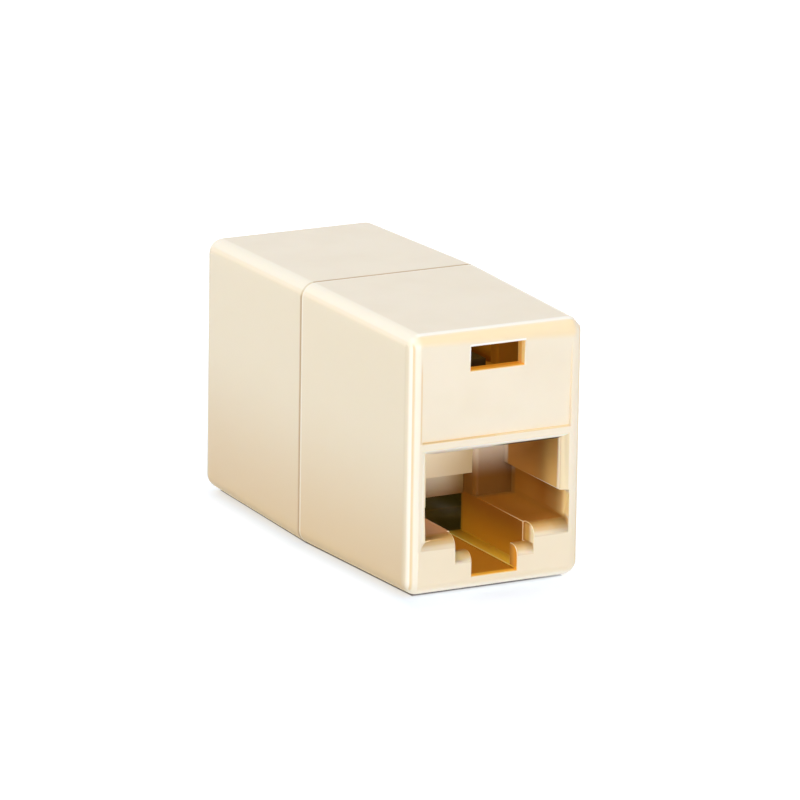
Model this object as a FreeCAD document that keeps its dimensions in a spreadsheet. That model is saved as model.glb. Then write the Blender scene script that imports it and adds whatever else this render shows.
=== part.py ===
import FreeCAD, Part

import math
import os
from types import SimpleNamespace

import Sketcher

# In-line network coupler: two equal half shells that meet at a seam, each with an eight-way port.
# Frame: millimetres, +Z up, +Y along the coupler, the front port faces -Y.
# The origin is under the middle of the seam, at the height of the lowest point.

# Driving dimensions, each with what it measures
SIZES = {
    "half_length": (18.0, "end face to seam"),
    "seam_height": (21.8, "height of the shell at the seam"),
    "side_inset": (0.42, "draft of each side over half the length"),
    "top_inset": (0.28, "draft of the top over half the length"),
    "bottom_inset": (0.21, "draft of the underside over half the length"),
    "long_edge_radius": (1.25, "rounding of the four long edges"),
    "end_edge_radius": (1.0, "rounding round the end face"),
    "seam_bevel": (0.14, "bevel that makes the seam's fine groove"),
    "end_side_wall": (1.13, "side wall beside the port at the end face"),
    "wall": (1.3, "side and roof wall at the seam"),
    "floor_wall": (1.4, "bottom wall at the seam"),
    "front_wall": (1.25, "thickness of the end wall"),
    "port_width": (12.0, "between the upper walls of the port"),
    "port_floor": (4.85, "ledges that the plug slides on, above the base"),
    "port_height": (6.87, "ledges to the port's ceiling"),
    "port_depth": (9.5, "end face to the port's back wall"),
    "shoulder_height": (2.55, "ledges to the underside of the upper walls"),
    "lead_in_width": (0.7, "sloped lead-in at the port's sides, across the end face"),
    "lead_in_rise": (0.45, "sloped lead-in over the port, up the end face"),
    "lead_in_depth": (0.36, "sloped lead-in round the port, into the port"),
    "ledge_radius": (1.0, "rounded nose of the ledges"),
    "ceiling_wall": (1.0, "thickness of the port's ceiling"),
    "back_wall": (2.2, "thickness of the port's back wall"),
    "jamb_radius": (0.4, "rounded upright edges of the back wall's opening"),
    "latch_gap": (6.64, "between the ledges"),
    "latch_mouth_gap": (7.1, "between the ledges' noses"),
    "latch_mouth_depth": (1.45, "end face to the step behind the ledges' noses"),
    "notch_width": (4.12, "notch in the latch lip"),
    "notch_floor": (1.33, "floor of the notch above the base"),
    "groove_depth": (0.15, "latch channel's floor down to the notch's floor"),
    "lip_drop": (1.55, "ledges down to the top of the latch lip"),
    "lip_depth": (1.25, "thickness of the latch lip"),
    "lip_radius": (0.8, "rounded nose of the latch lip"),
    "core_wall": (1.2, "plastic left round the cores under the ledges"),
    "bar_height": (1.01, "port's ceiling up to the panel's lower edge"),
    "panel_recess": (0.25, "depth of the recess along the panel's lower edge"),
    "window_width": (4.86, "window near the panel's top"),
    "window_height": (2.0, "window near the panel's top"),
    "tab_width": (1.0, "thickness of the locating tab"),
    "tab_height": (3.6, "height of the locating tab"),
    "tab_bottom": (2.3, "underside of the tab above the base"),
    "tab_root": (4.5, "length of the tab in its own shell"),
    "tab_reach": (2.6, "length of the tab past the seam"),
    "tab_lead": (0.35, "lead-in bevel at the tab's tip"),
    "fit_gap": (0.06, "clearance between an inner piece and its seat"),
    "insert_drop": (0.19, "ledges down to the carrier's underside"),
    "block_rise": (1.78, "carrier's tongue up to the top of its block"),
    "nose_rise": (1.89, "ledges up to the underside of the nose's upper step"),
    "lower_step": (0.46, "lower step of the carrier's nose"),
    "upper_step": (1.45, "upper step of the carrier's nose"),
    "tongue_front": (2.5, "end face to the tip of the carrier's tongue"),
    "tongue_thickness": (2.5, "carrier's tongue above the port's ceiling"),
    "comb_web": (0.45, "plastic left round the comb's slots"),
    "spine_width": (2.2, "spine along the tongue's top"),
    "spine_front": (4.0, "end face to the tip of the spine"),
    "spine_rise": (2.73, "carrier's tongue up to the top of the spine"),
    "contact_pitch": (1.016, "contact to contact"),
    "contact_width": (0.45, "contact strip across"),
    "contact_thickness": (0.3, "contact strip"),
    "contact_radius": (0.62, "bend at the contact's front, at the middle of the strip"),
    "contact_lift": (0.5, "underside of the tongue up to the contact's level run"),
    "slot_gap": (0.085, "clearance each side of a contact in its slot"),
    "bend_gap": (0.15, "clearance in front of the contact's bend"),
    "tip_gap": (0.65, "contact's free end to the port's back wall"),
    "tip_drop": (2.27, "port's ceiling down to the contact's free end"),
    "board_thickness": (1.0, "joining board at the seam"),
    "board_height": (8.4, "joining board"),
}
CONTACTS = 8


class Formula:
    """A size as text for an expression, kept with the value that it has now."""

    def __init__(self, text, value):
        self.text = text
        self.value = value

    @staticmethod
    def of(item):
        return item if isinstance(item, Formula) else Formula(repr(item), item)

    def __add__(self, other):
        other = Formula.of(other)
        return Formula(f"({self.text} + {other.text})", self.value + other.value)

    def __sub__(self, other):
        other = Formula.of(other)
        return Formula(f"({self.text} - {other.text})", self.value - other.value)

    def __mul__(self, other):
        other = Formula.of(other)
        return Formula(f"({self.text} * {other.text})", self.value * other.value)

    def __truediv__(self, other):
        other = Formula.of(other)
        return Formula(f"({self.text} / {other.text})", self.value / other.value)

    def __neg__(self):
        return Formula(f"(0 - {self.text})", -self.value)


doc = FreeCAD.newDocument("coupler")
sheet = doc.addObject("Spreadsheet::Sheet", "sizes")
for row, (name, (value, meaning)) in enumerate(SIZES.items(), start=1):
    sheet.set(f"A{row}", name)
    sheet.set(f"B{row}", str(value))
    sheet.set(f"C{row}", meaning)
    sheet.setAlias(f"B{row}", name)
doc.recompute()
size = SimpleNamespace(**{name: Formula(f"sizes.{name}", value) for name, (value, _) in SIZES.items()})

# Places that several pieces share, from the driving dimensions
end_face = -size.half_length
front_wall_back = end_face + size.front_wall
port_back = end_face + size.port_depth
chamber_front = port_back + size.back_wall
lip_back = end_face + size.lip_depth

port_half = size.port_width / 2
shoulder_half = port_half + size.lead_in_width
end_half = shoulder_half + size.end_side_wall
seam_half = end_half + size.side_inset
chamber_half = seam_half - size.wall
loft_half = chamber_half - size.side_inset
latch_half = size.latch_gap / 2
latch_mouth_half = size.latch_mouth_gap / 2
notch_half = size.notch_width / 2
tab_outer = chamber_half - size.fit_gap
tab_inner = tab_outer - size.tab_width
insert_half = tab_inner - size.fit_gap
slot_width = size.contact_width + size.slot_gap * 2
contact_reach = size.contact_pitch * ((CONTACTS - 1) / 2)
comb_half = contact_reach + slot_width / 2 + size.comb_web

port_ceiling = size.port_floor + size.port_height
chamber_roof = size.seam_height - size.wall
loft_roof = chamber_roof - size.top_inset
loft_floor = port_ceiling + size.ceiling_wall
tongue_floor = loft_floor + size.fit_gap
tongue_top = loft_floor + size.tongue_thickness
insert_bottom = size.port_floor - size.insert_drop
insert_top = tongue_top + size.block_rise
contact_run = tongue_floor + size.contact_lift

tongue_tip = end_face + size.tongue_front
slot_front = tongue_tip + size.comb_web
comb_back = port_back - size.fit_gap
board_front = -(size.board_thickness / 2)


def bind(feature, name, formula):
    feature.setExpression(name, Formula.of(formula).text)


def sketch_on(body, name, role, offset):
    """A sketch on one of the body's own origin planes, moved along the plane's normal."""
    plane = next(item for item in body.Origin.OriginFeatures if item.Role == role)
    sketch = body.newObject("Sketcher::SketchObject", name)
    sketch.AttachmentSupport = (plane, [""])
    sketch.MapMode = "FlatFace"
    bind(sketch, "AttachmentOffset.Base.z", offset)
    return sketch


def pin_point(sketch, geometry, end, name, across, up):
    """Dimension one end of a line from the sketch's origin."""
    for kind, tag, formula in (("DistanceX", "across", across), ("DistanceY", "up", up)):
        formula = Formula.of(formula)
        index = sketch.addConstraint(Sketcher.Constraint(kind, -1, 1, geometry, end, formula.value))
        sketch.renameConstraint(index, f"{name}_{tag}")
        bind(sketch, f"Constraints.{name}_{tag}", formula)


def draw_outline(sketch, corners, name="corner"):
    """A closed outline of straight lines, with each corner dimensioned from the origin."""
    points = [FreeCAD.Vector(Formula.of(x).value, Formula.of(y).value, 0) for x, y in corners]
    first = sketch.GeometryCount
    count = len(points)
    for number in range(count):
        sketch.addGeometry(Part.LineSegment(points[number], points[(number + 1) % count]), False)
    for number in range(count):
        following = first + (number + 1) % count
        sketch.addConstraint(Sketcher.Constraint("Coincident", first + number, 2, following, 1))
    for number, (x, y) in enumerate(corners):
        pin_point(sketch, first + number, 1, f"{name}_{number}", x, y)


def rectangle(left, right, low, high):
    return [(left, low), (right, low), (right, high), (left, high)]


def extrude(body, kind, sketch, length, reverse=False, both_sides=False):
    """A Pad or a Pocket of the sketch, by a bound length."""
    feature = body.newObject(f"PartDesign::{kind}", f"{sketch.Name}_{kind.lower()}")
    feature.Profile = sketch
    feature.SideType = "Symmetric" if both_sides else "One side"
    feature.Reversed = reverse
    bind(feature, "Length", length)
    sketch.Visibility = False
    doc.recompute()
    return feature


def cut_from_seam(body, name, corners, depth_place):
    """A pocket that opens at the seam and runs towards the end face, to the given place along Y."""
    sketch = sketch_on(body, name, "XZ_Plane", 0)
    draw_outline(sketch, corners)
    return extrude(body, "Pocket", sketch, -depth_place, reverse=True)


def cut_from_end(body, name, corners, depth_place):
    """A pocket that opens at the end face and runs towards the seam, to the given place along Y."""
    sketch = sketch_on(body, name, "XZ_Plane", size.half_length)
    draw_outline(sketch, corners)
    return extrude(body, "Pocket", sketch, depth_place - end_face)


def edges_where(feature, test):
    """Names of the edges whose middle point and direction pass a test."""
    names = []
    for number, edge in enumerate(feature.Shape.Edges, start=1):
        first, last = edge.ParameterRange
        if test(edge.valueAt((first + last) / 2), edge):
            names.append(f"Edge{number}")
    return names


def dress(body, kind, amount, name, test):
    """A Fillet or a Chamfer on the edges of the body's tip that pass a test."""
    base = body.Tip
    feature = body.newObject(f"PartDesign::{kind}", name)
    feature.Base = (base, edges_where(base, test))
    bind(feature, "Radius" if kind == "Fillet" else "Size", amount)
    doc.recompute()
    return feature


def near(value, formula, tolerance=0.02):
    return abs(value - Formula.of(formula).value) < tolerance


def spans(edge, axis):
    """Length of the edge's box along one axis."""
    box = edge.BoundBox
    return {"x": box.XLength, "y": box.YLength, "z": box.ZLength}[axis]


def on_end(middle, edge):
    """Whether an edge lies in the end face."""
    return near(middle.y, end_face) and near(spans(edge, "y"), 0)


def new_body(name, turned):
    """A body; a turned one belongs to the rear half, half a turn about Z."""
    body = doc.addObject("PartDesign::Body", name)
    body.Label = name
    angle = 180 if turned else 0
    body.Placement = FreeCAD.Placement(FreeCAD.Vector(), FreeCAD.Rotation(FreeCAD.Vector(0, 0, 1), angle))
    return body


# Half shell: drafted outside, port with latch channel, panel, window, inner chambers, locating tab
def make_shell(name, turned):
    body = new_body(name, turned)
    plan = sketch_on(body, f"{name}_plan", "XY_Plane", 0)
    draw_outline(plan, [(-seam_half, 0), (-end_half, end_face), (end_half, end_face), (seam_half, 0)])
    extrude(body, "Pad", plan, size.seam_height)
    end_top = size.seam_height - size.top_inset
    drafts = {"top_draft": (size.seam_height, end_top), "bottom_draft": (0, size.bottom_inset)}
    for label, (seam_level, end_level) in drafts.items():
        wedge = sketch_on(body, f"{name}_{label}", "YZ_Plane", 0)
        draw_outline(wedge, [(0, seam_level), (end_face, seam_level), (end_face, end_level)])
        extrude(body, "Pocket", wedge, seam_half * 2, both_sides=True)
    dress(body, "Fillet", size.long_edge_radius, f"{name}_long_edges",
          lambda middle, edge: near(middle.y, end_face / 2, 1.0))
    dress(body, "Fillet", size.end_edge_radius, f"{name}_end_edges", on_end)
    dress(body, "Chamfer", size.seam_bevel, f"{name}_seam_groove",
          lambda middle, edge: near(middle.y, 0) and near(spans(edge, "y"), 0))

    cut_from_seam(body, f"{name}_chamber",
                  rectangle(-chamber_half, chamber_half, size.floor_wall, chamber_roof), chamber_front)
    cut_from_seam(body, f"{name}_loft",
                  rectangle(-loft_half, loft_half, loft_floor, loft_roof), front_wall_back)

    shoulder_top = size.port_floor + size.shoulder_height
    cut_from_end(body, f"{name}_port", [
        (-port_half, port_ceiling), (-port_half, shoulder_top),
        (-shoulder_half, shoulder_top), (-shoulder_half, size.port_floor),
        (shoulder_half, size.port_floor), (shoulder_half, shoulder_top),
        (port_half, shoulder_top), (port_half, port_ceiling)], port_back)
    mouth = sketch_on(body, f"{name}_mouth", "XZ_Plane", size.half_length)
    mouth_top = port_ceiling + size.lead_in_rise
    draw_outline(mouth, rectangle(-shoulder_half, shoulder_half, shoulder_top, mouth_top))
    throat = sketch_on(body, f"{name}_throat", "XZ_Plane", size.half_length - size.lead_in_depth)
    draw_outline(throat, rectangle(-port_half, port_half, shoulder_top, port_ceiling))
    lead_in = body.newObject("PartDesign::SubtractiveLoft", f"{name}_lead_in")
    lead_in.Profile = mouth
    lead_in.Sections = [throat]
    lead_in.Ruled = True
    doc.recompute()

    cut_from_seam(body, f"{name}_back_opening",
                  rectangle(-latch_half, latch_half, size.port_floor, port_ceiling), port_back)
    dress(body, "Fillet", size.jamb_radius, f"{name}_jambs",
          lambda middle, edge: near(middle.y, port_back) and near(abs(middle.x), latch_half)
          and middle.z > size.port_floor.value and near(spans(edge, "x"), 0))
    latch_floor = size.notch_floor + size.groove_depth
    cut_from_seam(body, f"{name}_latch_channel", [
        (-latch_half, size.port_floor), (-latch_half, latch_floor),
        (-notch_half, latch_floor), (-notch_half, size.notch_floor),
        (notch_half, size.notch_floor), (notch_half, latch_floor),
        (latch_half, latch_floor), (latch_half, size.port_floor)], lip_back)
    lip_top = size.port_floor - size.lip_drop
    cut_from_end(body, f"{name}_latch_mouth",
                 rectangle(-latch_mouth_half, latch_mouth_half, lip_top, size.port_floor),
                 end_face + size.latch_mouth_depth)
    cut_from_end(body, f"{name}_latch_notch",
                 rectangle(-notch_half, notch_half, size.notch_floor, lip_top), lip_back)
    core_inner = latch_half + size.core_wall
    core_outer = chamber_half - size.side_inset
    core_top = size.port_floor - size.core_wall
    for side, sign in (("left", -1), ("right", 1)):
        core = rectangle(core_inner * sign, core_outer * sign, size.floor_wall + size.bottom_inset, core_top)
        cut_from_seam(body, f"{name}_{side}_core", core, end_face + size.core_wall * 2)

    window_half = size.window_width / 2
    window_bottom = loft_roof - size.window_height
    cut_from_end(body, f"{name}_window",
                 rectangle(-window_half, window_half, window_bottom, loft_roof), front_wall_back)

    comb_opening = sketch_on(body, f"{name}_comb_opening", "XY_Plane", loft_floor)
    opening_half = comb_half + size.fit_gap
    opening_front = tongue_tip - size.fit_gap
    draw_outline(comb_opening, rectangle(-opening_half, opening_half, opening_front, port_back))
    extrude(body, "Pocket", comb_opening, size.ceiling_wall)

    recess = sketch_on(body, f"{name}_panel_recess", "YZ_Plane", 0)
    panel_bottom = port_ceiling + size.bar_height
    draw_outline(recess, [(end_face, loft_roof), (end_face, panel_bottom),
                          (end_face + size.panel_recess, panel_bottom)])
    extrude(body, "Pocket", recess, shoulder_half * 2, both_sides=True)

    tab = sketch_on(body, f"{name}_tab", "XY_Plane", size.tab_bottom)
    tab_anchor = chamber_half + size.wall / 2
    draw_outline(tab, [(tab_inner, -size.tab_root), (tab_anchor, -size.tab_root),
                       (tab_anchor, board_front), (tab_outer, board_front),
                       (tab_outer, size.tab_reach), (tab_inner + size.tab_lead, size.tab_reach),
                       (tab_inner, size.tab_reach - size.tab_lead)])
    extrude(body, "Pad", tab, size.tab_height)

    dress(body, "Fillet", size.ledge_radius, f"{name}_ledge_noses",
          lambda middle, edge: on_end(middle, edge) and near(middle.z, size.port_floor))
    dress(body, "Fillet", size.lip_radius, f"{name}_lip_noses",
          lambda middle, edge: on_end(middle, edge) and near(middle.z, lip_top))

    # Beside one ledge the sloped lead-in runs on down to the ledge's nose
    guide = sketch_on(body, f"{name}_guide", "XY_Plane", size.port_floor - size.ledge_radius)
    guide_anchor = shoulder_half + size.end_side_wall / 4
    guide_back = end_face + size.lead_in_depth
    draw_outline(guide, [(-guide_anchor, end_face), (-shoulder_half, end_face),
                         (-port_half, guide_back), (-guide_anchor, guide_back)])
    extrude(body, "Pad", guide, size.ledge_radius + size.shoulder_height)
    return body


# Contact carrier: block behind the port, stepped nose, tongue over the ceiling, comb and spine
def make_insert(name, turned):
    body = new_body(name, turned)
    block_front = chamber_front + size.fit_gap
    step_front = block_front - size.lower_step
    nose_front = step_front - size.upper_step

    profile = sketch_on(body, f"{name}_profile", "YZ_Plane", 0)
    draw_outline(profile, [
        (board_front, insert_bottom), (block_front, insert_bottom),
        (block_front, tongue_floor), (tongue_tip, tongue_floor), (tongue_tip, tongue_top),
        (block_front, tongue_top), (block_front, insert_top), (board_front, insert_top)])
    extrude(body, "Pad", profile, insert_half * 2, both_sides=True)

    nose = sketch_on(body, f"{name}_nose", "YZ_Plane", 0)
    nose_top = port_ceiling - size.fit_gap
    nose_bottom = size.port_floor + size.nose_rise
    draw_outline(nose, [
        (block_front, insert_bottom), (step_front, insert_bottom), (step_front, nose_bottom),
        (nose_front, nose_bottom), (nose_front, nose_top), (block_front, nose_top)])
    extrude(body, "Pad", nose, (latch_half - size.fit_gap) * 2, both_sides=True)

    comb = sketch_on(body, f"{name}_comb", "XY_Plane", tongue_floor)
    draw_outline(comb, rectangle(-comb_half, comb_half, tongue_tip, comb_back))
    extrude(body, "Pad", comb, size.ceiling_wall, reverse=True)

    spine = sketch_on(body, f"{name}_spine", "YZ_Plane", 0)
    spine_tip = end_face + size.spine_front
    spine_top = tongue_top + size.spine_rise
    draw_outline(spine, [(spine_tip, tongue_top), (block_front, tongue_top), (block_front, insert_top),
                         (spine_tip + size.spine_width, spine_top), (spine_tip, spine_top)])
    extrude(body, "Pad", spine, size.spine_width, both_sides=True)

    slot = sketch_on(body, f"{name}_slot", "YZ_Plane", -contact_reach)
    strip_room = size.contact_thickness / 2 + size.fit_gap
    slot_back = comb_back - size.comb_web
    slot_floor = contact_run - strip_room
    slot_roof = contact_run + strip_room
    comb_floor = tongue_floor - size.ceiling_wall
    draw_outline(slot, [(slot_front, comb_floor), (slot_back, comb_floor), (slot_back, slot_floor),
                        (board_front, slot_floor), (board_front, slot_roof), (slot_front, slot_roof)])
    first_slot = extrude(body, "Pocket", slot, slot_width, both_sides=True)
    slots = body.newObject("PartDesign::LinearPattern", f"{name}_slots")
    slots.Originals = [first_slot]
    axis = next(item for item in body.Origin.OriginFeatures if item.Role == "X_Axis")
    slots.Direction = (axis, [""])
    slots.Occurrences = CONTACTS
    bind(slots, "Length", contact_reach * 2)
    body.Tip = slots
    doc.recompute()
    return body


# Contact strip: level run through the carrier, a bend at the front, a sloping spring into the port
def make_contact(name, turned, number):
    body = new_body(name, turned)
    sign = -1 if turned else 1
    bind(body, "Placement.Base.x", (size.contact_pitch * number - contact_reach) * sign)
    bend = slot_front + size.bend_gap + size.contact_thickness / 2 + size.contact_radius
    tip_along = port_back - size.tip_gap
    tip_up = port_ceiling - size.tip_drop
    run_up = contact_run
    radius = size.contact_radius.value

    # The spring is tangent to the bend's circle, so its slope follows from the free end's place
    centre = FreeCAD.Vector(bend.value, run_up.value - radius, 0)
    reach = FreeCAD.Vector(tip_along.value, tip_up.value, 0) - centre
    slope = math.atan2(reach.y, reach.x) + math.asin(radius / reach.Length)
    leave = centre + FreeCAD.Vector(math.sin(slope), -math.cos(slope), 0) * radius
    start = FreeCAD.Vector(board_front.value, run_up.value, 0)
    turn = FreeCAD.Vector(bend.value, run_up.value, 0)
    free_end = FreeCAD.Vector(tip_along.value, tip_up.value, 0)

    path = sketch_on(body, f"{name}_path", "YZ_Plane", 0)
    level = path.addGeometry(Part.LineSegment(start, turn), False)
    circle = Part.Circle(centre, FreeCAD.Vector(0, 0, 1), radius)
    bow = path.addGeometry(Part.ArcOfCircle(circle, math.pi / 2, slope + 3 * math.pi / 2), False)
    spring = path.addGeometry(Part.LineSegment(leave, free_end), False)
    path.addConstraint(Sketcher.Constraint("Tangent", level, 2, bow, 1))
    path.addConstraint(Sketcher.Constraint("Tangent", bow, 2, spring, 1))
    path.addConstraint(Sketcher.Constraint("Horizontal", level))
    pin_point(path, level, 1, "tail", board_front, run_up)
    bend_place = path.addConstraint(Sketcher.Constraint("DistanceX", -1, 1, level, 2, bend.value))
    path.renameConstraint(bend_place, "bend_place")
    bind(path, "Constraints.bend_place", bend)
    bend_radius = path.addConstraint(Sketcher.Constraint("Radius", bow, radius))
    path.renameConstraint(bend_radius, "bend_radius")
    bind(path, "Constraints.bend_radius", size.contact_radius)
    pin_point(path, spring, 2, "tip", tip_along, tip_up)

    section = sketch_on(body, f"{name}_section", "XZ_Plane", -board_front)
    strip_half = size.contact_width / 2
    strip_rise = size.contact_thickness / 2
    draw_outline(section, rectangle(-strip_half, strip_half, run_up - strip_rise, run_up + strip_rise))
    doc.recompute()

    pipe = body.newObject("PartDesign::AdditivePipe", f"{name}_pipe")
    pipe.Profile = section
    pipe.Spine = (path, ["Edge1", "Edge2", "Edge3"])
    doc.recompute()
    return body


# Joining board: stands at the seam between the two carriers
def make_board(name):
    board = doc.addObject("Part::Box", name)
    board.Label = name
    bind(board, "Length", insert_half * 2)
    bind(board, "Width", size.board_thickness)
    bind(board, "Height", size.board_height)
    bind(board, "Placement.Base.x", -insert_half)
    bind(board, "Placement.Base.y", board_front)
    bind(board, "Placement.Base.z", insert_top - size.board_height)
    return board


pieces = []
for half, turned in (("front", False), ("rear", True)):
    pieces.append(make_shell(f"{half}_shell", turned))
    pieces.append(make_insert(f"{half}_insert", turned))
    for number in range(CONTACTS):
        pieces.append(make_contact(f"{half}_contact_{number + 1}", turned, number))
pieces.append(make_board("joining_board"))
doc.recompute()

failed = [item.Name for item in doc.Objects if {"Invalid", "Error"} & set(item.State)]
failed += [piece.Label for piece in pieces if piece.Shape.isNull() or not piece.Shape.isValid()]
if failed:
    raise RuntimeError(f"not built: {failed}")
os.makedirs("parts", exist_ok=True)
for piece in pieces:
    piece.Shape.exportStep(f"parts/{piece.Label}.step")
    solids = len(piece.Shape.Solids)
    print(f"{piece.Label}: {solids} solid, {piece.Shape.Volume:.2f} mm3, box {piece.Shape.BoundBox}")
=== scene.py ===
# %% [markdown]
# An in-line coupler for network leads: two drafted half shells in ivory plastic meet at a seam halfway
# along, and each end has an eight-way port under a recessed panel with a small window. The CAD model gives
# every shape and place, so this lesson loads it as a fixed frame and works on what CAD leaves out: softened
# mould edges, sprung contacts with rolled edges, and plastics, metal and laminate that take the light well.

# %% Load the frame
import math

import bmesh
import bpy
from mathutils import Matrix, Vector


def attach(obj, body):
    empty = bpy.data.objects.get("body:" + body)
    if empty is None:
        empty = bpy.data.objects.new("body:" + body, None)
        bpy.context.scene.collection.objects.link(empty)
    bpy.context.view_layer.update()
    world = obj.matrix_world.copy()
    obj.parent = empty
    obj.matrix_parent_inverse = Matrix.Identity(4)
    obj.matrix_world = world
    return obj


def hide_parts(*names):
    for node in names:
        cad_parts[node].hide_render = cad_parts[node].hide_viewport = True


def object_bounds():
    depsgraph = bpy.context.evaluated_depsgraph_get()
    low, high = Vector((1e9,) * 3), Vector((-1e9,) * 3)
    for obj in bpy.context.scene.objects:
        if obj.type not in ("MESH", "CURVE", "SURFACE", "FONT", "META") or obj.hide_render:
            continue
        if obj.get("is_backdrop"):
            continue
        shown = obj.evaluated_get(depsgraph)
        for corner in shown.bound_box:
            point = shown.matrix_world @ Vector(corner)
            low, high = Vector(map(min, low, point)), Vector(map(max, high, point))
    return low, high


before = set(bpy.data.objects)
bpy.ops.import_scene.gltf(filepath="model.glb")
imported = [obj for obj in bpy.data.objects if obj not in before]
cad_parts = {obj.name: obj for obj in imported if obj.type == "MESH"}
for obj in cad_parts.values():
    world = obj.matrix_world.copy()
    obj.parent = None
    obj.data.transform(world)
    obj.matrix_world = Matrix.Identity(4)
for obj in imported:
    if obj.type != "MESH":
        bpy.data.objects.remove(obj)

MM = 0.001
scene = bpy.context.scene
scene.view_settings.view_transform = "Standard"
cad_low, cad_high = (Vector(corner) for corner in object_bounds())
HALF_WIDTH, HALF_LENGTH, TOP = (side / MM for side in cad_high)
print("CAD box in mm:", [round(side / MM, 2) for side in cad_high - cad_low])

# %% [markdown]
# The camera stands to the left of the port and a little above it, far off with a long lens, which is why the
# long edges hardly draw together. Its angles, distance and slight roll were fitted to the outline in the
# photograph. Three axes as the columns of a matrix are shorter than a chain of rotations, and the function
# that turns two angles into a direction places the lamps later on.

# %% Camera
CAMERA_AZIMUTH = -28.32
CAMERA_ELEVATION = 15.17
CAMERA_ROLL = math.radians(0.911)
CAMERA_DISTANCE = 588 * MM
CAMERA_AIM = Vector((0.945, 0, 11.05)) * MM
CAMERA_NEAREST = 10 * MM
LENS_LENGTH = 325.4
SENSOR_WIDTH = 36


def direction(azimuth, elevation):
    """Towards a place so many degrees round from the front port and up from the floor."""
    turn = math.radians(azimuth)
    tilt = math.radians(elevation)
    return Vector((math.sin(turn) * math.cos(tilt), -math.cos(turn) * math.cos(tilt), math.sin(tilt)))


back = direction(CAMERA_AZIMUTH, CAMERA_ELEVATION)
level = direction(CAMERA_AZIMUTH + 90, 0)
upright = back.cross(level)
right = level * math.cos(CAMERA_ROLL) + upright * math.sin(CAMERA_ROLL)
up = upright * math.cos(CAMERA_ROLL) - level * math.sin(CAMERA_ROLL)
turned = Matrix((right, up, back)).transposed().to_4x4()

camera = bpy.data.objects.new("camera", bpy.data.cameras.new("camera"))
camera.data.lens = LENS_LENGTH
camera.data.sensor_width = SENSOR_WIDTH
camera.data.clip_start = CAMERA_NEAREST
camera.matrix_world = Matrix.Translation(CAMERA_AIM + back * CAMERA_DISTANCE) @ turned
scene.collection.objects.link(camera)
scene.camera = camera
print("camera at mm:", [round(part / MM) for part in camera.matrix_world.translation])

# %% [markdown]
# Every finish below is a small shader graph. Wiring nodes by hand hides the sums, so one class wraps an
# output socket: Python's operators add Math nodes, and one method adds any other node. After that a mask
# reads like a formula: a soft step up, a soft step down, or both.

# %% Shader sums
class Value:
    """One output socket of a node graph, on which Python sums add Math nodes."""

    BAND_CORE = 0.4

    def __init__(self, tree, socket):
        self.tree = tree
        self.socket = socket

    def add(self, kind, settings=None, sockets=None, output=0):
        """Add any node: its type, then its settings, then the values or links of its sockets."""
        node = self.tree.nodes.new(kind)
        for name, setting in (settings or {}).items():
            if name == "stops":
                fill_ramp(node.color_ramp, setting)
            else:
                setattr(node, name, setting)
        for name, value in (sockets or {}).items():
            wanted = [socket for socket in node.inputs if name in (socket.identifier, socket.name)][0]
            if isinstance(value, Value):
                self.tree.links.new(value.socket, wanted)
            else:
                wanted.default_value = value
        if node.outputs:
            return Value(self.tree, node.outputs[output])

    def sum(self, operation, first, second=0.0):
        return self.add("ShaderNodeMath", {"operation": operation}, {"Value": first, "Value_001": second})

    def __add__(self, other):
        return self.sum("ADD", self, other)

    def __sub__(self, other):
        return self.sum("SUBTRACT", self, other)

    def __rsub__(self, other):
        return self.sum("SUBTRACT", other, self)

    def __mul__(self, other):
        return self.sum("MULTIPLY", self, other)

    def __truediv__(self, other):
        return self.sum("DIVIDE", self, other)

    def __abs__(self):
        return self.sum("ABSOLUTE", self)

    __radd__ = __add__
    __rmul__ = __mul__

    def larger(self, other):
        return self.sum("MAXIMUM", self, other)

    def rise(self, low, high):
        """0 below low, 1 above high, and a smooth step between them."""
        sockets = {"Value": self, "From Min": low, "From Max": high}
        return self.add("ShaderNodeMapRange", {"interpolation_type": "SMOOTHSTEP"}, sockets)

    def fall(self, low, high):
        """1 below low, 0 above high, and a smooth step between them."""
        return 1 - self.rise(low, high)

    def within(self, start, full, fading, gone):
        """0 up to start, 1 from full to fading, and 0 again from gone."""
        return self.rise(start, full) * self.fall(fading, gone)

    def band(self, middle, half_width):
        """1 near a middle value, falling to 0 at half a width from it."""
        return abs(self - middle).fall(half_width * self.BAND_CORE, half_width)

    def ramp(self, stops):
        """The colour that a list of positions and colours gives this value."""
        return self.add("ShaderNodeValToRGB", {"stops": stops}, {"Fac": self})

    def tint(self, colour, mask):
        """This colour blended towards another where a mask is 1; the fourth number is how strongly."""
        *shade, strength = colour
        sockets = {"Factor_Float": mask * strength, "A_Color": self, "B_Color": (*shade, 1)}
        return self.add("ShaderNodeMix", {"data_type": "RGBA"}, sockets, output=2)


def fill_ramp(ramp, stops):
    while len(ramp.elements) < len(stops):
        ramp.elements.new(1.0)
    for element, (position, colour) in zip(ramp.elements, stops):
        element.position = position
        element.color = (*colour, 1.0)


print("sums on a value:", [name for name in vars(Value) if not name.startswith("_")])

# %% [markdown]
# A finish starts from the piece's own Object coordinates and ends in one Principled shader. Only what changes
# over the surface is linked; a number that is the same all over is set on the shader's own socket. Soft noise
# about 0 gives the small changes that no real surface is without.

# %% Start and close a material
def start_material(name):
    """An empty node material, with its Object coordinates as the first value."""
    material = bpy.data.materials.new(name)
    material.use_nodes = True
    tree = material.node_tree
    tree.nodes.clear()
    coordinates = tree.nodes.new("ShaderNodeTexCoord")
    return material, Value(tree, coordinates.outputs["Object"])


def close_material(place, varying, constants):
    """One Principled shader: varying inputs are linked, constants are set on its own sockets."""
    shader = place.add("ShaderNodeBsdfPrincipled", {}, {**constants, **varying})
    place.add("ShaderNodeOutputMaterial", {}, {"Surface": shader})


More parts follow.
